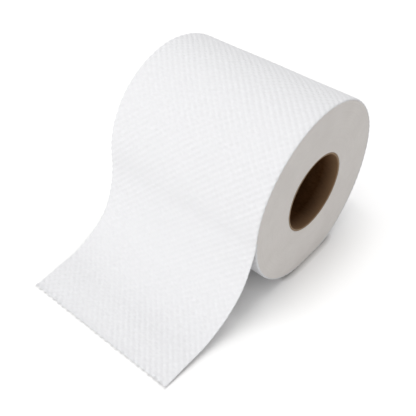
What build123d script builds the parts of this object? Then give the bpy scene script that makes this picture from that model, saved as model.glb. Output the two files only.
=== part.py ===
from build123d import *
import math
import os

# A roll of toilet paper lying on its side, with its loose end drawn over the front and down to the table.
# X runs along the roll's axis, the loose end goes towards -Y, and Z = 0 is the table.
# The origin is on the table, under the middle of the axis.

# Driving dimensions, in millimetres

# The wound paper
PAPER_WIDTH = 100.0  # the length of the roll: paper and core are cut to it in one go
ROLL_RADIUS = 50.6  # the round upper half of the outermost turn
TURNS_SHIFT = 1.0  # how far the soft turns sit back from the core's axis
AXIS_HEIGHT = 52.7  # the soft turns below the core hang a little, so this is more than the radius
FLAT_FRONT = 2.0  # how far the flat spot under the roll reaches to the front of the axis
FLAT_BACK = 12.0  # and to the back of it
WEB_THICKNESS = 0.4  # one embossed sheet of two plies

# The cardboard core
CORE_RADIUS = 22.5  # its outside
CORE_WALL = 0.9
CORE_CLEARANCE = 0.05  # between the core and the first turn that is wound on it

# The loose end
FALL_REACH = 52.5  # how far the paper swings out from the roll on its way down
LYING_LENGTH = 10.5  # how much of it lies on the table
CRACK_WIDTH = 0.1  # the gap at the line where it leaves the roll

# The lines that the turns leave on both ends of the roll
TURNS_SHOWN = 6
TURN_LINE_WIDTH = 0.45
TURN_LINE_DEPTH = 0.4

# The perforations
SHEET_LENGTH = 92.0
SLIT_COUNT = 26  # slits across one row
BOND_LENGTH = 1.2  # the paper left between two slits
SLIT_WIDTH = 0.3
SLIT_DEPTH = 0.25
TOOTH_DEPTH = 1.1  # the torn edge's teeth

# Places that follow from them

FRONT_Y = TURNS_SHIFT - ROLL_RADIUS  # the outermost turn's front at the axis's height
BACK_Y = TURNS_SHIFT + ROLL_RADIUS
WOUND_FRONT = -FRONT_Y - WEB_THICKNESS  # from the axis forward to the crack behind the loose end
SEAT_RADIUS = CORE_RADIUS + CORE_CLEARANCE
SLIT_PITCH = PAPER_WIDTH / SLIT_COUNT
FALL_END = FALL_REACH - FRONT_Y  # where the falling paper meets the table, measured from the axis
TORN_END = FALL_END + LYING_LENGTH
CUT_MARGIN = 0.5  # how far a cutting shape stands out of what it cuts
BEND_SPLIT = 45  # degrees of slope where the two arcs of a bend meet


def quarter_bend(side_y, foot_y, foot_z):
    """From upright at the axis's height to level at the foot, in two arcs that join smoothly halfway."""
    reach = abs(side_y - foot_y)
    drop = AXIS_HEIGHT - foot_z
    part = math.cos(math.radians(BEND_SPLIT))
    upper = (drop * part - reach * (1 - part)) / (2 * part - 1)
    lower = (reach * part - drop * (1 - part)) / (2 * part - 1)
    if side_y > foot_y:
        upper_arc = CenterArc((side_y - upper, AXIS_HEIGHT), upper, 0, -BEND_SPLIT)
        lower_arc = CenterArc((foot_y, foot_z + lower), lower, -BEND_SPLIT, -BEND_SPLIT)
    else:
        upper_arc = CenterArc((side_y + upper, AXIS_HEIGHT), upper, 180, BEND_SPLIT)
        lower_arc = CenterArc((foot_y, foot_z + lower), lower, 180 + BEND_SPLIT, BEND_SPLIT)
    return [upper_arc, lower_arc]


def web_path():
    """The outer face of the web in the side view, from the torn end up to the roll and once round it."""
    behind_crack = FRONT_Y + WEB_THICKNESS + CRACK_WIDTH
    return [
        Line((-TORN_END, WEB_THICKNESS), (-FALL_END, WEB_THICKNESS)),
        *reversed(quarter_bend(FRONT_Y, -FALL_END, WEB_THICKNESS)),
        CenterArc((TURNS_SHIFT, AXIS_HEIGHT), ROLL_RADIUS, 180, -180),
        *quarter_bend(BACK_Y, FLAT_BACK, 0),
        Line((FLAT_BACK, 0), (-FLAT_FRONT, 0)),
        *reversed(quarter_bend(behind_crack, -FLAT_FRONT, 0)),
    ]


def side_view():
    """The paper seen from the side: the roll and its loose end are one outline."""
    inner_face = FRONT_Y + WEB_THICKNESS
    underside = [
        Line((inner_face + CRACK_WIDTH, AXIS_HEIGHT), (inner_face, AXIS_HEIGHT)),
        *quarter_bend(inner_face, -FALL_END, 0),
        Line((-FALL_END, 0), (-TORN_END, 0)),
        Line((-TORN_END, 0), (-TORN_END, WEB_THICKNESS)),
    ]
    return make_face(Curve() + web_path() + underside)


def turn_crossings():
    """Where the turns' line crosses the upright through the axis, by turns above and below the axis."""
    quarter = (WOUND_FRONT - SEAT_RADIUS) / (4 * TURNS_SHOWN + 2)  # a quarter turn's share of the radius
    radii = [WOUND_FRONT - quarter * (2 * k + 1) for k in range(2 * TURNS_SHOWN)]
    return [AXIS_HEIGHT + (r if k % 2 == 0 else -r) for k, r in enumerate(radii)]


def groove_section(height):
    """The V section of the turns' line at a crossing, its sides carried on out of the +X end of the roll."""
    face = PAPER_WIDTH / 2
    half_top = TURN_LINE_WIDTH / 2 * (TURN_LINE_DEPTH + CUT_MARGIN) / TURN_LINE_DEPTH
    corners = [
        (face + CUT_MARGIN, 0, height - half_top),
        (face + CUT_MARGIN, 0, height + half_top),
        (face - TURN_LINE_DEPTH, 0, height),
    ]
    return Face(Wire.make_polygon([Vector(*c) for c in corners]))


def turn_line_cutters():
    """The turns' line on the +X end, in half circles that meet at the crossings and shrink inwards."""
    heights = turn_crossings()
    cutters = []
    for start, end in zip(heights, heights[1:]):
        axis = Axis((0, 0, (start + end) / 2), (-1, 0, 0))
        cutters.append(revolve(groove_section(start), axis=axis, revolution_arc=180))
    # the outermost stretch runs forward from the first crossing to the crack where the loose end leaves
    rise = heights[0] - AXIS_HEIGHT
    radius = (WOUND_FRONT**2 + rise**2) / (2 * rise)
    centre = heights[0] - radius
    sweep = 90 + math.degrees(math.asin((centre - AXIS_HEIGHT) / radius))
    axis = Axis((0, 0, centre), (1, 0, 0))
    cutters.append(revolve(groove_section(heights[0]), axis=axis, revolution_arc=sweep))
    return cutters


def torn_edge_cutter():
    """What tearing took away: everything beyond a zigzag with a tooth at each bond of the row."""
    beyond = -TORN_END - CUT_MARGIN
    half = PAPER_WIDTH / 2
    corners = [(half, beyond), (-half, beyond)]
    for k in range(SLIT_COUNT):
        left = -half + k * SLIT_PITCH
        corners += [(left, -TORN_END), (left + SLIT_PITCH / 2, -TORN_END + TOOTH_DEPTH)]
    corners.append((half, -TORN_END))
    plan = Plane.XY.offset(-CUT_MARGIN) * make_face(Polyline(*corners, close=True))
    return extrude(plan, WEB_THICKNESS + 2 * CUT_MARGIN)


def perforation_cutters():
    """The slits of every row on the outermost turn, one sheet apart from the torn edge on."""
    path = Wire([Plane.YZ * edge for edge in web_path()])
    slit = Box(SLIT_PITCH - BOND_LENGTH, SLIT_WIDTH, 2 * SLIT_DEPTH)
    cutters = []
    for row in range(1, int(path.length / SHEET_LENGTH) + 1):
        share = row * SHEET_LENGTH / path.length
        along = path.tangent_at(share)
        outward = Vector(1, 0, 0).cross(along)
        place = Plane(path.position_at(share), x_dir=(1, 0, 0), z_dir=outward)
        for k in range(SLIT_COUNT):
            offset = (k + 0.5) * SLIT_PITCH - PAPER_WIDTH / 2
            cutters.append(place * Pos(offset, 0, 0) * slit)
    return cutters


def make_paper():
    """The whole web, wound and loose, with the seat that it is wound on."""
    web = extrude(Plane.YZ.offset(-PAPER_WIDTH / 2) * side_view(), PAPER_WIDTH)
    seat = Pos(0, 0, AXIS_HEIGHT) * Cylinder(
        SEAT_RADIUS, PAPER_WIDTH + 2 * CUT_MARGIN, rotation=(0, 90, 0)
    )
    right_end = turn_line_cutters()
    left_end = [mirror(cutter, about=Plane.YZ) for cutter in right_end]
    return web - [seat, torn_edge_cutter(), *right_end, *left_end, *perforation_cutters()]


def make_core():
    """The cardboard tube."""
    outside = Cylinder(CORE_RADIUS, PAPER_WIDTH, rotation=(0, 90, 0))
    inside = Cylinder(CORE_RADIUS - CORE_WALL, PAPER_WIDTH + 2 * CUT_MARGIN, rotation=(0, 90, 0))
    return Pos(0, 0, AXIS_HEIGHT) * (outside - inside)


os.makedirs("parts", exist_ok=True)
export_step(make_paper(), "parts/toilet_paper.step")
export_step(make_core(), "parts/cardboard_core.step")
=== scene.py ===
# %% [markdown]
# # A roll of toilet paper with its loose end on the table
# The real thing is one long web of soft two-ply tissue, wound on a cardboard tube and cut to length.
# Its solids are already packed, at their real size. They are loaded first and never moved, and every
# surface below is laid over them, so that nothing has to be fitted afterwards.

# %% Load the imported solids
import math

import bpy
import numpy as np
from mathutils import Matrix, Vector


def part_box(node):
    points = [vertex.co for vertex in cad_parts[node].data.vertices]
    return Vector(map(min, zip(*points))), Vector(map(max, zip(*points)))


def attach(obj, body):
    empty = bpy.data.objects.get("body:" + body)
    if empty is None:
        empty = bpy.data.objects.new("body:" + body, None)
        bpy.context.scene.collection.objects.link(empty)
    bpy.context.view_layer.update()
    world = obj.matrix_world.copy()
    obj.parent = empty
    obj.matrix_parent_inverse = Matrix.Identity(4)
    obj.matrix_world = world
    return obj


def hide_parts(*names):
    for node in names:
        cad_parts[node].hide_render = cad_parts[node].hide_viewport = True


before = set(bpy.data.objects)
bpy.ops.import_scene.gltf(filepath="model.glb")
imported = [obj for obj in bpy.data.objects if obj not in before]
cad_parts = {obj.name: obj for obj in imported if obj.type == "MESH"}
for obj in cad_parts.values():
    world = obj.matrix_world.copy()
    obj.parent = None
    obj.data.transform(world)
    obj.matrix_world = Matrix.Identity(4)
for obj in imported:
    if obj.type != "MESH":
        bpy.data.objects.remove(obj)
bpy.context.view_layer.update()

# %% [markdown]
# ## Sizes
# A roll is drawn in millimetres, because tissue is a fraction of a millimetre thick, and turned into
# metres only when a mesh is made. What the solids can tell is measured on them. Only what is folded
# into their shape, such as the thickness of one sheet, is named here again.

# %% Measure the roll and name what cannot be measured
MM = 0.001

paper_low, paper_high = (np.array(corner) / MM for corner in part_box("toilet_paper"))
core_low, core_high = (np.array(corner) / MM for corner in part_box("cardboard_core"))
PAPER_WIDTH = paper_high[0] - paper_low[0]
HALF_WIDTH = PAPER_WIDTH / 2
TORN_END = -paper_low[1]
AXIS_HEIGHT = (core_low[2] + core_high[2]) / 2
CORE_RADIUS = (core_high[2] - core_low[2]) / 2
ROLL_RADIUS = paper_high[2] - AXIS_HEIGHT
TURNS_SHIFT = paper_high[1] - ROLL_RADIUS

SHEET_THICKNESS = 0.4
CRACK_WIDTH = 0.1
FLAT_FRONT = 2.0
FLAT_BACK = 12.0
LYING_LENGTH = 10.5
SHEET_LENGTH = 92.0
SLIT_COUNT = 26
BOND_WIDTH = 1.1
CORE_WALL = 0.9
CORE_CLEARANCE = 0.05
SEAT_RADIUS = CORE_RADIUS + CORE_CLEARANCE
TOOTH_PITCH = PAPER_WIDTH / SLIT_COUNT
print(f"roll {PAPER_WIDTH:.1f} wide, radius {ROLL_RADIUS:.1f}, axis {AXIS_HEIGHT:.1f} above the table")

# %% [markdown]
# ## The line that the web follows
# Seen from the side, the web is one line: it lies flat at the torn end, bends up to the roll, runs
# over the top, down the back, under the roll along the small flat spot, and up again behind its own
# loose end. A spline through chosen points would wobble, so the line is told as a walk: each run has
# a length and an angle that it turns by, and the walk tells the place and the outward direction at
# any distance. Each bend between an upright and a level line is made of two arcs that share its
# angle equally.

# %% Walk along the web
BEND_SPLIT = 45
HALF_CIRCLE = 180


def bend_radii(reach, drop):
    """Radii of the two arcs that join an upright and a level line smoothly."""
    part = math.cos(math.radians(BEND_SPLIT))
    upper = (drop * part - reach * (1 - part)) / (2 * part - 1)
    lower = (reach * part - drop * (1 - part)) / (2 * part - 1)
    return upper, lower


def arc(radius, turn):
    """A run along an arc: its length, and the angle in degrees that it turns by."""
    return radius * math.radians(abs(turn)), turn


def web_runs():
    """The runs of the walk, as pairs of a length and an angle in degrees, from the torn end on."""
    front = ROLL_RADIUS - TURNS_SHIFT
    behind_crack = front - SHEET_THICKNESS - CRACK_WIDTH
    fall_upper, fall_lower = bend_radii(TORN_END - LYING_LENGTH - front, AXIS_HEIGHT - SHEET_THICKNESS)
    back_upper, back_lower = bend_radii(ROLL_RADIUS + TURNS_SHIFT - FLAT_BACK, AXIS_HEIGHT)
    front_upper, front_lower = bend_radii(behind_crack - FLAT_FRONT, AXIS_HEIGHT)
    return [
        (LYING_LENGTH, 0),
        arc(fall_lower, BEND_SPLIT),
        arc(fall_upper, BEND_SPLIT),
        arc(ROLL_RADIUS, -HALF_CIRCLE),
        arc(back_upper, -BEND_SPLIT),
        arc(back_lower, -BEND_SPLIT),
        (FLAT_BACK + FLAT_FRONT, 0),
        arc(front_lower, -BEND_SPLIT),
        arc(front_upper, -BEND_SPLIT),
    ]


RUNS = web_runs()
LOOSE_RUNS = RUNS[:3]
WEB_LENGTH = sum(length for length, _ in RUNS)
LEAVING_AT = sum(length for length, _ in LOOSE_RUNS)


def walk(distance):
    """Place and outward normal, seen from the side, of the web's outer face along its length."""
    left = np.array(distance, dtype=float)
    y = np.full(left.shape, -TORN_END)
    z = np.full(left.shape, SHEET_THICKNESS)
    heading = np.zeros(left.shape)
    for length, turn in RUNS:
        step = np.clip(left, 0, length)
        if turn:
            bend = math.radians(turn) / length
            y += (np.sin(heading + bend * step) - np.sin(heading)) / bend
            z += (np.cos(heading) - np.cos(heading + bend * step)) / bend
            heading += bend * step
        else:
            y += step * np.cos(heading)
            z += step * np.sin(heading)
        left -= length
    return y, z, -np.sin(heading), np.cos(heading)


print(f"the web is {WEB_LENGTH:.1f} mm long and leaves the roll {LEAVING_AT:.1f} mm from its torn edge")

# %% [markdown]
# ## Gentle unevenness
# Nothing soft is quite even. The sum of some sine waves with seeded lengths, directions and phases
# gives a smooth unevenness that is the same in every run, and it costs far less than a simulation.

# %% Seeded waves
WAVE_COUNT = 14
FINE_WAVE_COUNT = 20


def smooth_step(value):
    """0 below 0, 1 above 1, and an S between them."""
    value = np.clip(value, 0, 1)
    return value * value * (3 - 2 * value)


def waves(u, v, seed, longest, shortest, count=WAVE_COUNT):
    """A sum of seeded sine waves over a plane, mostly between -1 and 1."""
    draw = np.random.default_rng(seed)
    total = 0
    for _ in range(count):
        length = longest * (shortest / longest) ** draw.random()
        direction, phase = draw.uniform(0, 2 * math.pi, 2)
        slant = u * math.cos(direction) + v * math.sin(direction)
        total = total + np.sin(2 * math.pi * slant / length + phase)
    return total / math.sqrt(2 * count)


trial_waves = waves(np.arange(0.0, 500.0), 0, seed=1, longest=40, shortest=8)
print(f"spread of the waves along a line: {trial_waves.std():.2f}")

# %% [markdown]
# ## The embossing
# Steel rollers press fine ribs into the two plies, which holds them together and makes the paper
# thicker. The ribs run along both diagonals, both equally deep, and the light alone decides which of
# the two shows at a place. A bump texture would look flat at the outline, so the ribs are real shape:
# the sum of two sine waves, one for each diagonal.

# %% Emboss the web
EMBOSS_PITCH = 4.04
RIB_DEPTH = 0.27
RIB_WANDER = 0.12
RIB_UNEVENNESS = 0.12
EMBOSS_SAMPLES = 400


def emboss(u, s):
    """Height of the ribs over the web's mean face."""
    u = u + RIB_WANDER * waves(u, s, seed=11, longest=60, shortest=15)
    ribs = np.cos(2 * math.pi * (u + s) / EMBOSS_PITCH)
    crosses = np.cos(2 * math.pi * (u - s) / EMBOSS_PITCH)
    strength = 1 + RIB_UNEVENNESS * waves(u, s, seed=12, longest=50, shortest=12)
    return strength * RIB_DEPTH * (ribs + crosses) / 2


trial_line = np.linspace(0, 10 * EMBOSS_PITCH, EMBOSS_SAMPLES)
trial_ribs = emboss(*np.meshgrid(trial_line, trial_line))
print(f"the ribs lie between {trial_ribs.min():.3f} and {trial_ribs.max():.3f} mm")

# %% [markdown]
# ## The perforations
# Every sheet ends at a row of short slits with narrow bonds between them. The row is weaker than the
# paper beside it, so the web folds in there by a hair along its whole width, which shows as a fine
# line long before the slits do. Slits as true holes would show only the paper below, so they are
# narrow grooves in that fold, deep where the knife went in.

# %% Cut the rows of slits
SLIT_GAPE = 0.16
SLIT_DROP = 0.11
SLIT_END = 0.3
FOLD_DROP = 0.05
FOLD_WIDTH = 0.9
FOLD_SHARPNESS = 1.5


def from_bond(u):
    """Distance across the web to the nearest bond, in millimetres."""
    place = (u + HALF_WIDTH) / TOOTH_PITCH
    return np.abs(place - np.round(place)) * TOOTH_PITCH


def perforation(u, s):
    """What the rows of slits take off the web's face: a soft fold, and a groove for each slit."""
    row = np.maximum(np.round(s / SHEET_LENGTH), 1)
    past = s - row * SHEET_LENGTH
    in_slit = smooth_step((from_bond(u) - BOND_WIDTH / 2) / SLIT_END)
    groove = SLIT_DROP * in_slit * np.exp(-((past / SLIT_GAPE) ** 2))
    fold = FOLD_DROP * np.exp(-np.abs(past / FOLD_WIDTH) ** FOLD_SHARPNESS)
    return -groove - fold


row_count = int(WEB_LENGTH / SHEET_LENGTH)
print("rows of slits at", [round(SHEET_LENGTH * (k + 1)) for k in range(row_count)], "mm")

# %% [markdown]
# ## How the loose end hangs
# The loose end was drawn off a little askew: towards the torn edge it drifts to one side and is
# slightly narrower. Its foot is too stiff to lie down flat at once, one edge sags halfway down and
# the other bulges near the roll, and soft waves cross it. On the roll the paper is wound tight, so
# there the same waves are much weaker, and both edges are a little rounded.

# %% Shape the outer face
END_DRIFT = -2.3
END_NARROWING = 0.026
FOOT_LIFT, FOOT_MIDDLE, FOOT_SPAN = 1.7, 17.0, 10.0
LEFT_SAG, SAG_MIDDLE, SAG_SPAN = 1.3, 56.0, 12.0
RIGHT_BULGE, BULGE_MIDDLE, BULGE_SPAN = 1.0, 78.0, 12.0
CORNER_LIFT, CORNER_REACH, CORNER_SHARPNESS = 0.6, 28.0, 8
HANG_FADE = 12.0
LOOSE_UNTIL, LOOSE_FADE = 0.75, 0.35
OFF_TABLE_FADE = 20.0
LOOSE_WAVES = 0.25
WOUND_WAVES = 0.10
EDGE_DROP = 0.32
EDGE_ROUNDING = 1.0
TABLE_GAP = 0.01


def across(u, s):
    """Where a point of the web lies along the roll's axis."""
    freedom = 1 - smooth_step(s / LEAVING_AT)
    return END_DRIFT * freedom + u * (1 - END_NARROWING * freedom)


def hump(s, middle, span):
    """A soft hump along the web, 1 at its middle."""
    return np.exp(-(((s - middle) / span) ** 2))


def hang(u, s):
    """How far the loose end hangs off its line: up at the foot, in on the left, out on the right."""
    right = 0.5 + 0.5 * u / HALF_WIDTH
    foot = FOOT_LIFT * hump(s, FOOT_MIDDLE, FOOT_SPAN)
    corner = CORNER_LIFT * right ** CORNER_SHARPNESS * (1 - smooth_step(s / CORNER_REACH))
    sag = LEFT_SAG * (1 - right) * hump(s, SAG_MIDDLE, SAG_SPAN)
    bulge = RIGHT_BULGE * right * hump(s, BULGE_MIDDLE, BULGE_SPAN)
    return foot + corner - sag + bulge


def relief(u, s):
    """Everything that the face of the web does, over the line that it follows."""
    loose = 1 - smooth_step((s - LOOSE_UNTIL * LEAVING_AT) / (LOOSE_FADE * LEAVING_AT))
    off_table = smooth_step((s - LYING_LENGTH) / OFF_TABLE_FADE)
    softness = LOOSE_WAVES * loose * off_table + WOUND_WAVES * (1 - loose)
    soft = waves(u, s, seed=21, longest=90, shortest=28) * softness
    edge = np.clip(1 - (HALF_WIDTH - np.abs(u)) / EDGE_ROUNDING, 0, 1) ** 2
    hanging = hang(u, s) * smooth_step((LEAVING_AT - s) / HANG_FADE)
    return emboss(u, s) + perforation(u, s) + hanging + soft - EDGE_DROP * edge * (1 - loose)


def web_points(u, s, depth):
    """Points of the web at a depth under its outer face, never below the table."""
    y, z, normal_y, normal_z = walk(s)
    lift = relief(u, s) - depth
    height = np.maximum(z + normal_z * lift, TABLE_GAP)
    return np.stack([across(u, s), y + normal_y * lift, height], axis=-1)


leaving_point = web_points(np.array([0.0]), np.array([LEAVING_AT]), 0)[0]
print("the web's middle leaves the roll at", np.round(leaving_point, 2))

# %% [markdown]
# ## Meshes from grids
# Each piece is a few grids of points that share their borders. Working on whole grids keeps the code
# short and runs fast. Every grid carries two maps: one for its finish, which on the sheets counts
# millimetres of paper, and one flat layout with no overlaps, which an export can paint on.

# %% Build a piece from grids
LAYOUT_LOW, LAYOUT_HIGH = 0.01, 0.99


def number_points(points):
    """The number of each point of a grid, in the grid's own rows and columns."""
    rows, columns = points.shape[:2]
    return np.arange(rows * columns).reshape(rows, columns)


def close_round(grid, axis=1):
    """A grid with its first row or column repeated at its end, so that it closes round."""
    return np.concatenate([grid, grid.take([0], axis=axis)], axis=axis)


def corners(grid):
    """The four corners of each cell of a grid, in order round the cell."""
    return np.stack([grid[:-1, :-1], grid[:-1, 1:], grid[1:, 1:], grid[1:, :-1]], axis=2)


def layout(index, left, right, bottom, top):
    """A rectangle of the flat layout for a grid."""
    rows, columns = index.shape
    grid = np.meshgrid(np.linspace(left, right, columns), np.linspace(bottom, top, rows))
    return np.stack(grid, axis=-1)


def cut_strips(ring, fibres, spans, widths, bottom, top):
    """Patches between pairs of columns, each with its own strip of the flat layout."""
    patches = []
    for (first, last), (left, right) in zip(spans, widths):
        part = ring[:, first:last + 1]
        patches.append((part, fibres[:, first:last + 1], layout(part, left, right, bottom, top)))
    return patches


def build_piece(name, points, patches, closings, node):
    """A smooth mesh from patches (index, fibre map, layout) and flat closing faces of the same kind."""
    faces, fibre_map, flat_map = [], [], []
    for index, fibres, flat in patches:
        faces += corners(index).reshape(-1, 4).tolist()
        fibre_map.append(corners(fibres).reshape(-1, 2))
        flat_map.append(corners(flat).reshape(-1, 2))
    smooth_count = len(faces)
    for index, fibres, flat in closings:
        faces.append(index.tolist())
        fibre_map.append(fibres)
        flat_map.append(flat)
    mesh = bpy.data.meshes.new(name)
    mesh.from_pydata((points.reshape(-1, 3) * MM).tolist(), [], faces)
    for map_name, values in (("fibres", fibre_map), ("OFBake", flat_map)):
        mesh.uv_layers.new(name=map_name).data.foreach_set("uv", np.concatenate(values).ravel())
    mesh.polygons.foreach_set("use_smooth", np.arange(len(faces)) < smooth_count)
    mesh.update()
    piece = bpy.data.objects.new(name, mesh)
    bpy.context.scene.collection.objects.link(piece)
    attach(piece, "root")
    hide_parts(node)
    triangles = sum(len(face) - 2 for face in faces)
    print(f"{name}: {len(mesh.vertices)} points, {triangles} triangles")
    return piece


print("a grid of 3 by 4 points has", corners(number_points(np.zeros((3, 4, 3)))).size // 4, "cells")

# %% [markdown]
# ## The torn edge
# Tearing left a tuft of stretched fibres at each bond, and the straight cut of the knife between two
# tufts. No two tufts are alike, so each gets its own seeded length, width, lean and lift, and the two
# at the corners are wider, because the tear ran off the paper there. The paper also thins out towards
# the tear. A regular saw-tooth would look machined.

# %% Draw the torn edge
TUFT_COUNT = SLIT_COUNT + 1
TUFT_LENGTH = 0.65
TUFT_CORE = 0.1
CORNER_TUFT = 2.6
TEAR_SKEW = 1.5
TEAR_FADE = 9.0
TEAR_THINNING = 1.3
THINNEST = 0.3
STAND_REACH = 2.4
RAGGEDNESS = 0.07
TUFT_SEED = 31
TUFT_SHORTENING = (0.0, 0.35)
TUFT_HALF_WIDTH = (0.9, 1.5)
TUFT_LEAN = (-0.35, 0.35)
TUFT_LIFT = (0.45, 0.95)
EDGE_SAMPLES = 400

draw_tufts = np.random.default_rng(TUFT_SEED)
tuft_short = draw_tufts.uniform(*TUFT_SHORTENING, TUFT_COUNT)
tuft_half = draw_tufts.uniform(*TUFT_HALF_WIDTH, TUFT_COUNT)
tuft_half[[0, -1]] = CORNER_TUFT
tuft_lean = draw_tufts.uniform(*TUFT_LEAN, TUFT_COUNT)
tuft_lift = draw_tufts.uniform(*TUFT_LIFT, TUFT_COUNT)


def torn_line(u):
    """How far the torn edge lies behind the longest tufts, and how much a tuft stands up."""
    place = np.clip(np.round((u + HALF_WIDTH) / TOOTH_PITCH), 0, SLIT_COUNT).astype(int)
    offset = u + HALF_WIDTH - place * TOOTH_PITCH - tuft_lean[place]
    inside = 1 - smooth_step(np.abs(offset) / tuft_half[place] - TUFT_CORE)
    reach = (TUFT_LENGTH - tuft_short[place]) * inside
    ragged = RAGGEDNESS * waves(u, 0, seed=32, longest=1.6, shortest=0.7)
    skew = TEAR_SKEW * (0.5 + u / PAPER_WIDTH)
    return TUFT_LENGTH - reach + ragged + skew, tuft_lift[place] * inside


edge_depth, edge_lift = torn_line(np.linspace(-HALF_WIDTH, HALF_WIDTH, EDGE_SAMPLES))
print(f"the torn edge runs {edge_depth.min():.2f} to {edge_depth.max():.2f} mm behind its longest tuft,")
print(f"and its tufts stand up by as much as {edge_lift.max():.2f} mm")

# %% [markdown]
# ## One sheet as a closed skin
# A sheet is a thin slab: an outer face, an inner face, and a rounded edge on both sides. The loose
# end is seen from both sides, so both its faces get the full grid. On the roll the inner face is
# hidden, so there two points across are enough. In the flat layout the front, the right rim, the back
# and the left rim lie side by side as strips, and the two ends get a thin strip each above and below.

# %% Lay a sheet along the web
COLUMNS_PER_SLIT = 8
ROW_STEP = 0.52
NEAR_ROW = np.array([0.0, 0.12, 0.24, 0.4, 0.65, 0.95, 1.35])
SKIN_GAP = 0.02
RIM_SHARES = np.array([0.3, 0.7])
RIM_SWELL = 0.08
SHEET_LOW, SHEET_HIGH = 0.03, 0.97
OPEN_STRIPS = ((0.005, 0.485), (0.489, 0.494), (0.500, 0.985), (0.989, 0.995))
HIDDEN_STRIPS = ((0.005, 0.950), (0.954, 0.959), (0.965, 0.985), (0.989, 0.995))
END_STRIPS = ({"row": 0, "low": 0.005, "turn": -1}, {"row": -1, "low": 0.98, "turn": 1})
END_STRIP_HEIGHT = 0.01
TIP_POINTS = len(RIM_SHARES) + 2
sheet_columns = np.linspace(-HALF_WIDTH, HALF_WIDTH, SLIT_COUNT * COLUMNS_PER_SLIT + 1)


def sheet_rows(start, end):
    """Distances of a sheet's rows of points, closer together beside a row of slits or a tear."""
    near, first, last = NEAR_ROW[:-1], start + NEAR_ROW[-1], end - NEAR_ROW[-1]
    inner = np.linspace(first, last, int((last - first) / ROW_STEP) + 1)
    return np.concatenate([start + near, inner, end - near[::-1]])


def tear_off(u, s, thickness):
    """The rows, thickness and lift of a sheet that was torn off at its first row."""
    depth, stand = torn_line(u)
    lift = stand * (1 - smooth_step(s / STAND_REACH))
    thickness = thickness * (THINNEST + (1 - THINNEST) * smooth_step(s / TEAR_THINNING))
    return s + depth * np.clip(1 - s / TEAR_FADE, 0, 1) ** 2, thickness, lift


def lay_rim(u, s, thickness, lift, side):
    """The two lines of points that round off one side of a sheet."""
    pair, shares = ([-1, -1], RIM_SHARES) if side > 0 else ([0, 0], RIM_SHARES[::-1])
    rim = web_points(u[:, pair], s[:, pair], thickness[:, pair] * shares - lift[:, pair])
    rim[..., 0] += side * RIM_SWELL
    return rim


def close_end(index, fibres, columns, open_back, row, low, turn):
    """The patches and closing faces at one end of a sheet, whose faces turn one way or the other."""
    index, fibres = index[row], fibres[row]
    count = len(index)
    if not open_back:
        flat = np.stack([np.linspace(LAYOUT_LOW, LAYOUT_HIGH, count), np.full(count, low)], axis=-1)
        return [], [(index[::turn], fibres, flat)]
    front_end, back_start, back_end = columns
    front, back = slice(0, front_end + 1), slice(back_start, back_end + 1)
    both = np.stack([index[front], index[back][::-1]])
    both_fibres = np.stack([fibres[front], fibres[back][::-1]])
    flat = layout(both, LAYOUT_LOW, LAYOUT_HIGH, low, low + END_STRIP_HEIGHT)
    closings = []
    for near in (front_end, back_end):
        tip = index.take(range(near, near + TIP_POINTS), mode="wrap")[::-turn]
        closings.append((tip, np.repeat(fibres[:1], TIP_POINTS, axis=0), np.full((TIP_POINTS, 2), low)))
    return [(both[::turn], both_fibres, flat)], closings


def lay_sheet(name, start, end, torn=False, open_back=False):
    """A sheet between two distances along the web, as one piece."""
    s, u = np.meshgrid(sheet_rows(start, end), sheet_columns, indexing="ij")
    thickness = np.full(s.shape, SHEET_THICKNESS - SKIN_GAP)
    lift = np.zeros(s.shape)
    if torn:
        s, thickness, lift = tear_off(u, s, thickness)
    back_columns = slice(None) if open_back else [0, -1]
    front = web_points(u, s, -lift)
    behind = (u[:, back_columns], s[:, back_columns], (thickness - lift)[:, back_columns])
    back = web_points(*behind)[:, ::-1]
    right_rim, left_rim = (lay_rim(u, s, thickness, lift, side) for side in (1, -1))
    points = np.concatenate([front, right_rim, back, left_rim], axis=1)
    paper = np.stack([u, s], axis=-1)
    fibres = [paper, paper[:, [-1, -1]], paper[:, back_columns][:, ::-1], paper[:, [0, 0]]]
    fibres = np.concatenate(fibres, axis=1)
    index = number_points(points)
    front_end = front.shape[1] - 1
    back_start = front_end + right_rim.shape[1] + 1
    back_end = back_start + back.shape[1] - 1
    spans = ((0, front_end), (front_end, back_start), (back_start, back_end), (back_end, index.shape[1]))
    widths = OPEN_STRIPS if open_back else HIDDEN_STRIPS
    patches = cut_strips(close_round(index), close_round(fibres), spans, widths, SHEET_LOW, SHEET_HIGH)
    closings = []
    for end_strip in END_STRIPS:
        closed = close_end(index, fibres, (front_end, back_start, back_end), open_back, **end_strip)
        patches += closed[0]
        closings += closed[1]
    return build_piece(name, points, patches, closings, "toilet_paper")


loose_end = lay_sheet("loose_end", 0, SHEET_LENGTH, torn=True, open_back=True)

# %% [markdown]
# ## The sheets still on the roll
# The outermost turn takes three whole sheets and part of a fourth, which slips in behind the loose
# end. They are laid with the same function, so the embossing runs on across every row of slits.

# %% Lay the outermost turn
wound_sheets = []
for number in range(1, math.ceil(WEB_LENGTH / SHEET_LENGTH)):
    end = min((number + 1) * SHEET_LENGTH, WEB_LENGTH)
    wound_sheets.append(lay_sheet(f"wound_sheet_{number}", number * SHEET_LENGTH, end))

# %% [markdown]
# ## The cut ends
# A saw cut the long log of paper into rolls, so the ends show the edges of very many turns. They are
# nearly flat: fine ridges follow the turns, a soft line runs inwards from the place where the loose
# end leaves, and the rim is a little rounded. The turns follow the roll's own outline, flat spot
# included, so each ring is the outline shrunk towards the seat of the core.

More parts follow.
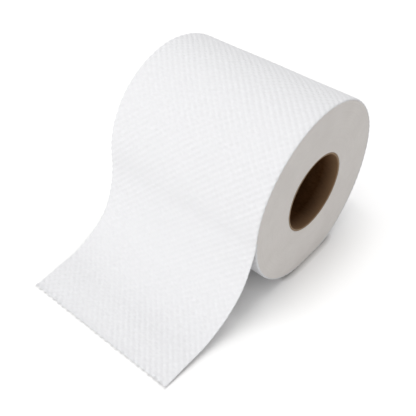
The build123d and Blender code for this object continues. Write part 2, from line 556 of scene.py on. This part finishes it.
# %% Wind the turns
TURN_PITCH = SHEET_THICKNESS + CRACK_WIDTH
RING_COUNT = 92
EVEN_SHARE = 0.97
OUTER_SHARES = (0.982, 0.99, 0.996, 1.0)
SPOKE_COUNT = 460
OUTLINE_STEPS = 3000
RIB_ROOM = 0.2
TURNS_GAP = 0.02
FACE_RECESS = 0.1
SPIRAL_PITCH = 4.3
SPIRAL_DEPTH = 0.09
SPIRAL_WIDTH = 0.45
SPIRAL_START = -0.5
RIDGE_HEIGHT = 0.03
FACE_SWELL = 0.12
RIM_DROP = 0.22
RIM_WIDTH = 0.7
END_SEEDS = ((1, 41), (-1, 51))
SWELL_SEED = 1
DISC_RADIUS = 0.24
DISC_HEIGHT = 0.7
DISC_MIDDLES = (0.25, 0.75)
WALL_STRIPS = ((0.05, 0.15), (0.2, 0.3))
WALL_LOW, WALL_HIGH = 0.02, 0.98

outline_y, outline_z, outline_ny, outline_nz = walk(np.linspace(LEAVING_AT, WEB_LENGTH, OUTLINE_STEPS))
outline_y = outline_y - outline_ny * (SHEET_THICKNESS + RIB_ROOM)
outline_z = outline_z - outline_nz * (SHEET_THICKNESS + RIB_ROOM) - AXIS_HEIGHT
outline_angle = np.unwrap(np.arctan2(outline_z, -outline_y))
outline_radius = np.hypot(outline_y, outline_z)


def rounding(distance):
    """How far a cut end falls back at a distance from its rim or from the core."""
    return RIM_DROP * np.clip(1 - distance / RIM_WIDTH, 0, 1) ** 2


def end_relief(radius, angle, rim, seed):
    """How far a cut end stands out, over the flat plane of the saw."""
    turns = (rim - radius) / TURN_PITCH + angle / (2 * math.pi)
    y, z = -radius * np.cos(angle), radius * np.sin(angle)
    ridges = RIDGE_HEIGHT * waves(turns, 0, seed, longest=14, shortest=2.2, count=FINE_WAVE_COUNT)
    swell = FACE_SWELL * waves(y, z, seed + SWELL_SEED, longest=90, shortest=30)
    spiral = (rim - radius) / SPIRAL_PITCH - angle / (2 * math.pi)
    from_line = (spiral - np.round(spiral)) * SPIRAL_PITCH
    line = SPIRAL_DEPTH * np.exp(-((from_line / SPIRAL_WIDTH) ** 2)) * (spiral > SPIRAL_START)
    return ridges + swell - line - rounding(rim - radius) - rounding(radius - SEAT_RADIUS) - FACE_RECESS


def wind_turns():
    """All turns under the outermost one, as a closed ring with two cut ends."""
    angle = np.linspace(0, 2 * math.pi, SPOKE_COUNT, endpoint=False)[:, None]
    rim = np.interp(angle, outline_angle, outline_radius)
    share = np.concatenate([np.linspace(0, EVEN_SHARE, RING_COUNT), OUTER_SHARES])[None, :]
    inner = SEAT_RADIUS + TURNS_GAP
    radius = inner + share * (rim - TURNS_GAP - inner)
    y, z = -radius * np.cos(angle), AXIS_HEIGHT + radius * np.sin(angle)
    right, left = (np.stack([side * (HALF_WIDTH + end_relief(radius, angle, rim, seed)), y, z], axis=-1)
                   for side, seed in END_SEEDS)
    points = np.concatenate([right, left[:, ::-1]], axis=1)
    ring = close_round(close_round(number_points(points), axis=0))
    turns = (rim - radius) / TURN_PITCH
    turns = np.concatenate([turns, turns[:, ::-1]], axis=1)
    turns = np.concatenate([turns, turns[:1] - 1])
    angles = np.concatenate([angle, [[2 * math.pi]]])
    fibres = close_round(np.stack([turns, turns + angles / (2 * math.pi)], axis=-1))
    count = share.shape[1]
    far = (SEAT_RADIUS + share * (ROLL_RADIUS - SEAT_RADIUS)) / ROLL_RADIUS * DISC_RADIUS
    patches = []
    for first, middle, reach in zip((0, count), DISC_MIDDLES, (far, far[:, ::-1])):
        flat = np.stack([middle + reach * np.cos(angles), DISC_HEIGHT + reach * np.sin(angles)], axis=-1)
        patches.append((ring[:, first:first + count], fibres[:, first:first + count], flat))
    for first, (low, high) in zip((count - 1, 2 * count - 1), WALL_STRIPS):
        flat = layout(ring[:, first:first + 2], low, high, WALL_LOW, WALL_HIGH)
        patches.append((ring[:, first:first + 2], fibres[:, first:first + 2], flat[:, :, ::-1]))
    return build_piece("wound_turns", points, patches, [], "toilet_paper")


wound_turns = wind_turns()

# %% [markdown]
# ## The cardboard core
# The core is wound from strips of brown board that run round it in a spiral. The edge of the inner
# strip shows as a fine slanting seam inside, and the sawn ends show paler, layered board. A plain
# cylinder would miss both, so the wall is a grid that can dip at the seam and roughen at the cut.

# %% Roll the core
SEAM_LEAD = 82.0
SEAM_START = 0.45
SEAM_DEPTH = 0.16
SEAM_WIDTH = 0.7
SEAM_STEP = 0.1
SEAM_RAMP = 9.0
SEAM_END = 2.0
SEAM_AT_CUT = 0.5
WALL_SWELL = 0.08
WALL_PHASE = 1.0
CORE_SPOKES = 300
CORE_COLUMNS = 130
CUT_RINGS = 7
CORE_RECESS = 0.25
CORE_REACH = HALF_WIDTH - CORE_RECESS
PLY_DEPTH = 0.05
PLY_WAVES = 3.5
CUT_UNEVENNESS = 0.05
BURR_HEIGHT = 0.06
BURR_STRETCH = 5
RIGHT_SEED, LEFT_SEED, BURR_SEED = 62, 63, 5
CORE_STRIPS = ((0.01, 0.70), (0.72, 0.81), (0.92, 0.99), (0.82, 0.91))


def core_inside(x, angle):
    """How much the inner wall dips outwards at the strip's seam, and swells beside it."""
    along = (x / SEAM_LEAD - angle / (2 * math.pi) + SEAM_START) % 1 * SEAM_LEAD
    signed = np.where(along > SEAM_LEAD / 2, along - SEAM_LEAD, along)
    groove = SEAM_DEPTH * np.exp(-((signed / SEAM_WIDTH) ** 2))
    step = np.where(signed > 0, -SEAM_STEP * np.exp(-signed / SEAM_RAMP), 0)
    return groove + step


def cut_core(edge, angle, share, side, seed):
    """A sawn end of the core: how far it stands out along the axis, and its radii."""
    along = angle * (CORE_RADIUS - CORE_WALL)
    deep = BURR_STRETCH * share
    plies = PLY_DEPTH * np.cos(2 * math.pi * PLY_WAVES * share)
    uneven = waves(along, 0, seed, longest=6, shortest=1.2, count=FINE_WAVE_COUNT)
    burr = waves(along, deep, seed + BURR_SEED, longest=3, shortest=0.9, count=FINE_WAVE_COUNT)
    reach = CORE_REACH + plies + CUT_UNEVENNESS * uneven + BURR_HEIGHT * burr
    return side * reach, edge + (CORE_RADIUS - edge) * share


def roll_core():
    """The tube: an inner wall, two cut ends and an outer wall, closed round."""
    angle = np.linspace(0, 2 * math.pi, CORE_SPOKES, endpoint=False)[:, None]
    x_in = np.linspace(-CORE_REACH, CORE_REACH, CORE_COLUMNS)[None, :]
    swell = WALL_SWELL * waves(x_in, 0, seed=61, longest=70, shortest=25) * np.cos(2 * angle + WALL_PHASE)
    seam = core_inside(x_in, angle) * np.clip((CORE_REACH - np.abs(x_in)) / SEAM_END + SEAM_AT_CUT, 0, 1)
    radius_in = CORE_RADIUS - CORE_WALL + seam + swell
    share = np.linspace(0, 1, CUT_RINGS + 2)[None, 1:-1]
    x_right, radius_right = cut_core(radius_in[:, -1:], angle, share, 1, RIGHT_SEED)
    x_left, radius_left = cut_core(radius_in[:, :1], angle, share, -1, LEFT_SEED)
    x_out = np.repeat([[CORE_REACH, -CORE_REACH]], CORE_SPOKES, axis=0)
    radius_out = np.full(x_out.shape, CORE_RADIUS)
    x = [np.repeat(x_in, CORE_SPOKES, axis=0), x_right, x_out, x_left[:, ::-1]]
    x = np.concatenate(x, axis=1)
    radius = np.concatenate([radius_in, radius_right, radius_out, radius_left[:, ::-1]], axis=1)
    points = np.stack([x, -radius * np.cos(angle), AXIS_HEIGHT + radius * np.sin(angle)], axis=-1)
    ring = close_round(close_round(number_points(points), axis=0))
    wide = close_round(close_round(x), axis=0)
    rounds = np.linspace(0, 1, CORE_SPOKES + 1)[:, None]
    fibres = [wide / SEAM_LEAD - rounds + SEAM_START, np.broadcast_to(rounds, wide.shape)]
    first_right = CORE_COLUMNS - 1
    first_outer = first_right + CUT_RINGS + 1
    last_outer = first_outer + 1
    starts = (0, first_right, first_outer, last_outer)
    spans = zip(starts, (*starts[1:], x.shape[1]))
    patches = cut_strips(ring, np.stack(fibres, axis=-1), spans, CORE_STRIPS, LAYOUT_LOW, LAYOUT_HIGH)
    return build_piece("core_tube", points, patches, [], "cardboard_core")


core_tube = roll_core()

# %% [markdown]
# ## Torn fibres
# Seen close, a tear in tissue is a fringe of single fibres. A particle system would need baking, so
# each fibre is a hair-thin three-sided tube that curls away from its tuft and rests over the table.

# %% Pull out the fibres
FIBRE_SEED = 71
FIBRES_PER_TUFT = 16
FIBRE_JOINTS = 6
FIBRE_SIDES = 3
FIBRE_RADIUS = 0.016
FIBRE_TIP = 0.45
FIBRE_SCATTER = 0.75
FIBRE_ROOT = 0.12
EDGE_MARGIN = 0.1
LENGTH_SHAPE, LENGTH_SCALE, SHORTEST_FIBRE = 3.0, 0.26, 0.2
FIBRE_TURN = 0.55
FIBRE_CURL, CURL_LENGTH = 0.9, 0.4
FIBRE_RISE = (-0.1, 0.55)
ROOT_HEIGHT = 0.2
FIBRE_DROOP = 0.25
FIBRE_MAP_STEP = 0.01
FIBRE_STRIP = 0.9
FIBRE_LEFT, FIBRE_RIGHT = 0.1, 0.9


def pull_fibres():
    """A fringe of curled fibres along the torn edge, as one piece."""
    draw = np.random.default_rng(FIBRE_SEED)
    count = FIBRES_PER_TUFT * TUFT_COUNT
    tuft = np.arange(count) // FIBRES_PER_TUFT
    u = -HALF_WIDTH + tuft * TOOTH_PITCH + draw.normal(0, FIBRE_SCATTER, count)
    u = np.clip(u, -HALF_WIDTH + EDGE_MARGIN, HALF_WIDTH - EDGE_MARGIN)
    start = torn_line(u)[0] + FIBRE_ROOT
    length = draw.gamma(LENGTH_SHAPE, LENGTH_SCALE, count) + SHORTEST_FIBRE
    heading = draw.normal(0, FIBRE_TURN, count)
    curl = draw.normal(0, FIBRE_CURL, count) / np.maximum(length, CURL_LENGTH)
    rise = draw.uniform(*FIBRE_RISE, count)
    step = np.linspace(0, 1, FIBRE_JOINTS)[None, :] * length[:, None]
    angle = heading[:, None] + curl[:, None] * step
    side = u[:, None] + step * np.sin(angle)
    out = start[:, None] - step * np.cos(angle)
    y = walk(np.maximum(out, 0))[0] + np.minimum(out, 0)
    height = ROOT_HEIGHT + rise[:, None] * step - FIBRE_DROOP * step ** 2
    centre = np.stack([across(side, out), y, np.maximum(height, FIBRE_RADIUS)], axis=-1)
    radius = FIBRE_RADIUS * np.linspace(1, FIBRE_TIP, FIBRE_JOINTS)[None, :, None, None]
    turn = np.arange(FIBRE_SIDES) * 2 * math.pi / FIBRE_SIDES
    ring = np.stack([np.cos(turn), np.zeros(FIBRE_SIDES), np.sin(turn)], axis=-1)[None, None]
    points = centre[:, :, None] + radius * ring
    index = np.arange(points.size // 3).reshape(count, FIBRE_JOINTS, FIBRE_SIDES)
    patches, closings = [], []
    for number in range(count):
        part = close_round(index[number])
        low = LAYOUT_LOW + (LAYOUT_HIGH - LAYOUT_LOW) * number / count
        fibres = np.stack([part, part], axis=-1) * FIBRE_MAP_STEP
        flat = layout(part, FIBRE_LEFT, FIBRE_RIGHT, low, low + FIBRE_STRIP / count)
        patches.append((part, fibres, flat))
        for tip in (index[number, 0], index[number, -1][::-1]):
            closings.append((tip, np.zeros((FIBRE_SIDES, 2)), np.full((FIBRE_SIDES, 2), low)))
    return build_piece("torn_fibres", points, patches, closings, "toilet_paper")


torn_fibres = pull_fibres()

# %% [markdown]
# ## Node helpers
# The finishes are built from a few kinds of node. Short helpers that make a node and fill or join
# its sockets keep each finish readable as a list of what it is made of.

# %% Make nodes and join them
def start_finish(name):
    """A new material, with its tree and its principled shader."""
    material = bpy.data.materials.new(name)
    material.use_nodes = True
    return material, material.node_tree, material.node_tree.nodes["Principled BSDF"]


def fill_inputs(tree, node, inputs):
    """Fill a node's inputs with values, or join them to sockets."""
    for key, value in inputs.items():
        if isinstance(value, bpy.types.NodeSocket):
            tree.links.new(value, node.inputs[key])
        else:
            node.inputs[key].default_value = value


def add_node(tree, kind, inputs=None, **settings):
    """A node with its settings, and its inputs filled with values or joined to sockets."""
    node = tree.nodes.new(kind)
    for key, value in settings.items():
        setattr(node, key, value)
    fill_inputs(tree, node, inputs or {})
    return node


def calculate(tree, operation, *values):
    """The result of a sum or other calculation with values or sockets."""
    return add_node(tree, "ShaderNodeMath", dict(enumerate(values)), operation=operation).outputs[0]


def noise(tree, vector, scale, detail, stretch=(1, 1, 1), roughness=0.55):
    """Noise over a vector, stretched along its axes."""
    mapped = add_node(tree, "ShaderNodeMapping", {"Vector": vector, "Scale": stretch})
    return add_node(tree, "ShaderNodeTexNoise", {
        "Vector": mapped.outputs["Vector"], "Scale": scale, "Detail": detail, "Roughness": roughness,
    }).outputs["Fac"]


def blend_colours(tree, factor, low, high):
    """A colour between two by a factor, where the low one may also come from another node."""
    start = low if isinstance(low, bpy.types.NodeSocket) else (*low, 1)
    inputs = {"Factor": factor, "A": start, "B": (*high, 1)}
    return add_node(tree, "ShaderNodeMix", inputs, data_type="RGBA").outputs["Result"]


def stretch_range(tree, value, low, high, new_low=0.0, new_high=1.0):
    """A value moved from one range to another."""
    return add_node(tree, "ShaderNodeMapRange", {
        "Value": value, "From Min": low, "From Max": high, "To Min": new_low, "To Max": new_high,
    }).outputs["Result"]


def bump(tree, height, strength, distance):
    """A surface direction that is tilted as if the surface had this height."""
    inputs = {"Height": height, "Strength": strength, "Distance": distance}
    return add_node(tree, "ShaderNodeBump", inputs).outputs["Normal"]


def coordinate(tree, axis, vector):
    """One coordinate of a vector."""
    return add_node(tree, "ShaderNodeSeparateXYZ", {"Vector": vector}).outputs[axis]


def paper_map(tree):
    """The map for the finish, which counts paper, turns or the seam's own way round."""
    return add_node(tree, "ShaderNodeUVMap", uv_map="fibres").outputs["UV"]


def place_on_part(tree):
    """The place on the part, in metres."""
    return add_node(tree, "ShaderNodeTexCoord").outputs["Object"]


NOISE_LOW, NOISE_HIGH = 0.3, 0.7
PAIR_LOW, PAIR_HIGH = 0.7, 1.3
print(f"one noise mostly lies between {NOISE_LOW} and {NOISE_HIGH},")
print(f"and the sum of two between {PAIR_LOW} and {PAIR_HIGH}")

# %% [markdown]
# ## Tissue
# Tissue is white and quite matt. Close up it shows fine creases across the web, left by the blade
# that scraped it off its drying drum, and a felt of fibres. Both are bump, because they are far finer
# than the grid. A very slight cloudiness keeps the white from looking like plaster.

# %% Finish the tissue
TISSUE_LOW = (0.888, 0.888, 0.902)
TISSUE_HIGH = (0.904, 0.904, 0.918)
CREASE_STRETCH = (0.7, 4.2, 1)
TISSUE_ROUGHNESS = (0.88, 0.98)


def tissue_finish():
    """Soft white tissue with creases, fibres and cloudiness."""
    material, tree, shader = start_finish("soft_tissue")
    fibres = paper_map(tree)
    clouds = noise(tree, fibres, scale=0.35, detail=5)
    creases = noise(tree, fibres, scale=1.0, detail=3, stretch=CREASE_STRETCH, roughness=0.6)
    felt = noise(tree, fibres, scale=3.2, detail=6, roughness=0.7)
    cloudiness = stretch_range(tree, clouds, NOISE_LOW, NOISE_HIGH)
    height = calculate(tree, "ADD", creases, felt)
    fill_inputs(tree, shader, {
        "Base Color": blend_colours(tree, cloudiness, TISSUE_LOW, TISSUE_HIGH),
        "Normal": bump(tree, height, strength=0.2, distance=0.00006),
        "Roughness": stretch_range(tree, felt, NOISE_LOW, NOISE_HIGH, *TISSUE_ROUGHNESS),
        "Specular IOR Level": 0.15,
    })
    return material


tissue = tissue_finish()
tissue_pieces = [loose_end, *wound_sheets, torn_fibres]
for piece in tissue_pieces:
    piece.data.materials.append(tissue)
print("tissue on", len(tissue_pieces), "pieces")

# %% [markdown]
# ## Cut ends
# The cut ends are the same paper, but light sinks in between the turns, so they look a little darker.
# Their warmer tint is painted shade: the warm grey of the end, which lies in shade, painted into its
# colour. Fine rings follow the turns, some lighter and some darker, because no two turns were cut
# quite alike.

# %% Finish the cut ends
# The cut ends' colours: the paper's own slightly darker tone, with painted warm shade in it.
CUT_TONE_AND_SHADE_LOW = (0.850, 0.809, 0.775)
CUT_TONE_AND_SHADE_HIGH = (0.910, 0.873, 0.840)
CUT_ROUGHNESS = (0.9, 1.0)
RING_STRETCH = (0, 1, 0)
CUT_FELT_STRETCH = (0.3, 1, 1)
TURN_HEIGHT = 0.35


def cut_end_finish():
    """Edges of many turns: rings of uneven tone and height, and loose fibres."""
    material, tree, shader = start_finish("cut_turns")
    turns = paper_map(tree)
    place = place_on_part(tree)
    rings = noise(tree, turns, scale=0.9, detail=4, stretch=RING_STRETCH, roughness=0.6)
    felt = noise(tree, place, scale=2600, detail=5, stretch=CUT_FELT_STRETCH, roughness=0.65)
    clouds = noise(tree, place, scale=90, detail=3)
    tone = stretch_range(tree, calculate(tree, "ADD", rings, clouds), PAIR_LOW, PAIR_HIGH)
    phase = calculate(tree, "MULTIPLY", coordinate(tree, "X", turns), 2 * math.pi)
    gaps = stretch_range(tree, calculate(tree, "COSINE", phase), -1, 1, TURN_HEIGHT, 0)
    height = calculate(tree, "ADD", calculate(tree, "ADD", gaps, rings), felt)
    fill_inputs(tree, shader, {
        "Base Color": blend_colours(tree, tone, CUT_TONE_AND_SHADE_LOW, CUT_TONE_AND_SHADE_HIGH),
        "Normal": bump(tree, height, strength=0.4, distance=0.00012),
        "Roughness": stretch_range(tree, felt, NOISE_LOW, NOISE_HIGH, *CUT_ROUGHNESS),
        "Specular IOR Level": 0.1,
    })
    return material


wound_turns.data.materials.append(cut_end_finish())
print("the cut ends are finished")

# %% [markdown]
# ## Board
# Core board is rough brown paper with darker and lighter fibres. The seam of the inner strip is a
# thin dark line, and the sawn ends are a lighter tan, because the saw leaves clean torn fibres. The
# last few millimetres inside, towards each end, are paler: painted light, where light comes in at the
# open ends. One material can do all of it, since the cut and the painted light lie beyond known
# distances along the axis.

# %% Finish the core
BOARD_DARK = (0.064, 0.0235, 0.006)
BOARD_LIGHT = (0.134, 0.060, 0.022)
# Paler board near each open end: painted light.
BOARD_LIT_NEAR_END = (0.29, 0.175, 0.096)
BOARD_CUT = (0.38, 0.275, 0.185)
BOARD_ROUGHNESS = (0.75, 0.92)
BOARD_STRETCH = (0.5, 1, 1)
LIT_REACH_INSIDE = 0.009
SEAM_DARK = (0.07, 0.038, 0.018)
SEAM_FROM, SEAM_TO = 0.004, 0.010
CUT_FROM, CUT_TO = 0.0003, 0.0001


def board_finish():
    """Brown board with fibres and a seam, paler where it was cut, with painted light near each end."""
    material, tree, shader = start_finish("core_board")
    place = place_on_part(tree)
    fibres = noise(tree, place, scale=900, detail=6, stretch=BOARD_STRETCH, roughness=0.65)
    specks = noise(tree, place, scale=2400, detail=3)
    clouds = noise(tree, place, scale=60, detail=3)
    tone = stretch_range(tree, calculate(tree, "ADD", fibres, clouds), PAIR_LOW, PAIR_HIGH)
    x = calculate(tree, "ABSOLUTE", coordinate(tree, "X", place))
    edge = CORE_REACH * MM
    # Painted light: the board turns paler within a few millimetres of each open end, where light comes
    # in.
    painted_light_inside = stretch_range(tree, x, edge - LIT_REACH_INSIDE, edge)
    from_seam = calculate(tree, "PINGPONG", coordinate(tree, "X", paper_map(tree)), 0.5)
    seam = stretch_range(tree, from_seam, SEAM_FROM, SEAM_TO, 1, 0)
    cut = stretch_range(tree, x, edge - CUT_FROM, edge - CUT_TO)
    colour = blend_colours(tree, tone, BOARD_DARK, BOARD_LIGHT)
    for factor, shade in ((painted_light_inside, BOARD_LIT_NEAR_END), (seam, SEAM_DARK), (cut, BOARD_CUT)):
        colour = blend_colours(tree, factor, colour, shade)
    height = calculate(tree, "ADD", fibres, specks)
    fill_inputs(tree, shader, {
        "Base Color": colour,
        "Normal": bump(tree, height, strength=0.5, distance=0.0001),
        "Roughness": stretch_range(tree, specks, NOISE_LOW, NOISE_HIGH, *BOARD_ROUGHNESS),
        "Specular IOR Level": 0.1,
    })
    return material


core_tube.data.materials.append(board_finish())
print("the core is finished")

# %% [markdown]
# ## The table
# The roll lies on a plain white table. The floor is a matt pale surface that takes the roll's
# shadow, and adds just enough of its own light towards the camera to come out white where nothing
# shades it. That light is hidden from the roll, which is lit by the lamps and the room alone. It
# stands for the glow of a pale room, so it fades close to the roll, which hides part of the room from
# the floor. Right at the roll's rim, where the two almost touch, the floor's colour is darkened in a
# thin line: a painted contact shadow. In front of the roll, where the loose end lies, it isn't.

# %% Lay the floor
WHITE = (1, 1, 1, 1)
FLOOR_HALF = 3.0
FLOOR_COLOUR = (0.905, 0.900, 0.895)
FLOOR_LIFT = 0.35
ROOM_REACH = 0.030
ROOM_FALL = 2.0
# Colour of the painted contact shadow under the roll's rim.
CONTACT_SHADOW_COLOUR = (0.26, 0.23, 0.20)
CONTACT_REACH = 0.004
CONTACT_FALL = 1.2
CONTACT_FRONT = (-0.06, -0.04)


def seen_directly(tree):
    """1 for rays from the camera, also by way of a mirror or glass."""
    path = add_node(tree, "ShaderNodeLightPath").outputs
    seen = calculate(tree, "MAXIMUM", path["Is Camera Ray"], path["Is Glossy Ray"])
    return calculate(tree, "MAXIMUM", seen, path["Is Transmission Ray"])


def openness(tree, distance, fall):
    """1 where nothing is near, and less the more of the view is hidden within a distance."""
    opening = add_node(tree, "ShaderNodeAmbientOcclusion", {"Distance": distance}).outputs["AO"]
    return calculate(tree, "POWER", opening, fall)


def floor_finish():
    """Matt and pale, with a glow for the camera and a painted contact shadow under the roll's rim."""
    material, tree, shader = start_finish("white_table")
    # A painted contact shadow: the floor's colour darkens where the roll's rim nearly touches it, except
    # in front of the roll.
    before_roll = stretch_range(tree, coordinate(tree, "Y", place_on_part(tree)), *CONTACT_FRONT, 1, 0)
    clear = calculate(tree, "MAXIMUM", openness(tree, CONTACT_REACH, CONTACT_FALL), before_roll)
    glow = calculate(tree, "MULTIPLY", openness(tree, ROOM_REACH, ROOM_FALL), FLOOR_LIFT)
    glow = calculate(tree, "MULTIPLY", glow, clear)
    fill_inputs(tree, shader, {
        "Base Color": blend_colours(tree, clear, CONTACT_SHADOW_COLOUR, FLOOR_COLOUR),
        "Roughness": 1.0,
        "Specular IOR Level": 0.0,
        "Emission Color": WHITE,
        "Emission Strength": calculate(tree, "MULTIPLY", seen_directly(tree), glow),
    })
    return material


def lay_floor():
    """A wide white plane."""
    mesh = bpy.data.meshes.new("table")
    signs = ((-1, -1), (1, -1), (1, 1), (-1, 1))
    mesh.from_pydata([(x * FLOOR_HALF, y * FLOOR_HALF, 0) for x, y in signs], [], [(0, 1, 2, 3)])
    mesh.materials.append(floor_finish())
    floor = bpy.data.objects.new("table", mesh)
    bpy.context.scene.collection.objects.link(floor)


lay_floor()
print("the floor is", 2 * FLOOR_HALF, "m wide")

# %% [markdown]
# ## Light
# The photograph has hardly a hard shadow. Most of its light falls steeply from the front left, some
# comes low from the front, some from behind, and a pale room adds much from everywhere. A lamp also
# decides which ribs of the embossing show: light from the left makes the ribs that lean one way stand
# out on the front of the roll, and the others on its top. Light adds up, so a picture with each lamp
# alone tells how much of it is wanted, and the powers below were fitted that way.

# %% Light the roll
WORLD_LEVEL = 0.413
LAMP_DISTANCE = 1.2
LAMP_SIZE = 0.8
LAMPS = (
    {"name": "key", "heading": 30.0, "height": 70.0, "power": 4.2},
    {"name": "front", "heading": 0.0, "height": 14.0, "power": 3.6},
    {"name": "left", "heading": 45.0, "height": 35.0, "power": 0.95},
    {"name": "back", "heading": -165.0, "height": 45.0, "power": 1.55},
    {"name": "back_top", "heading": 160.0, "height": 70.0, "power": 1.1},
)


def place_aimed(name, data, target, distance, heading, height):
    """An object that looks at its target. Its heading counts degrees from the front to the left."""
    heading, height = math.radians(heading), math.radians(height)
    level = math.cos(height)
    away = np.array([-math.sin(heading) * level, -math.cos(heading) * level, math.sin(height)])
    holder = bpy.data.objects.new(name, data)
    bpy.context.scene.collection.objects.link(holder)
    holder.location = target + away * distance
    holder.rotation_euler = (math.pi / 2 - height, 0, -heading)
    return holder


def place_lamp(name, heading, height, power):
    """A round soft lamp aimed at the roll's axis."""
    lamp = bpy.data.lights.new(name, "AREA")
    lamp.shape = "DISK"
    lamp.size = LAMP_SIZE
    lamp.energy = power
    place_aimed(name, lamp, np.array([0, 0, AXIS_HEIGHT * MM]), LAMP_DISTANCE, heading, height)


def make_pale_world():
    """An even world, which the camera sees as white."""
    world = bpy.data.worlds.new("pale_room")
    bpy.context.scene.world = world
    world.use_nodes = True
    tree = world.node_tree
    tree.nodes.clear()
    strength = stretch_range(tree, seen_directly(tree), 0, 1, WORLD_LEVEL, 1.0)
    background = add_node(tree, "ShaderNodeBackground", {"Color": WHITE, "Strength": strength})
    add_node(tree, "ShaderNodeOutputWorld", {"Surface": background.outputs[0]})


make_pale_world()
for lamp_sizes in LAMPS:
    place_lamp(**lamp_sizes)
print("lamps:", ", ".join(f"{sizes['name']} {sizes['power']} W" for sizes in LAMPS))

# %% [markdown]
# ## Camera
# The photograph looks down on the roll from its right front corner. The viewing angle, the distance
# and the lens were worked out from the outline of the roll, whose sizes are known. The camera aims
# between the roll and its loose end.

# %% Place the camera
CAMERA_AZIMUTH = 41.09
CAMERA_ELEVATION = 43.77
CAMERA_DISTANCE = 328.5
CAMERA_TARGET = np.array([7.25, -34.77, 40.0])
CAMERA_LENS = 53.6

camera_data = bpy.data.cameras.new("camera")
camera_data.lens = CAMERA_LENS
camera = place_aimed("camera", camera_data, CAMERA_TARGET * MM, CAMERA_DISTANCE * MM,
                     -CAMERA_AZIMUTH, CAMERA_ELEVATION)
bpy.context.scene.camera = camera
bpy.context.scene.view_settings.view_transform = "Standard"
print("camera at", [round(v, 3) for v in camera.location])
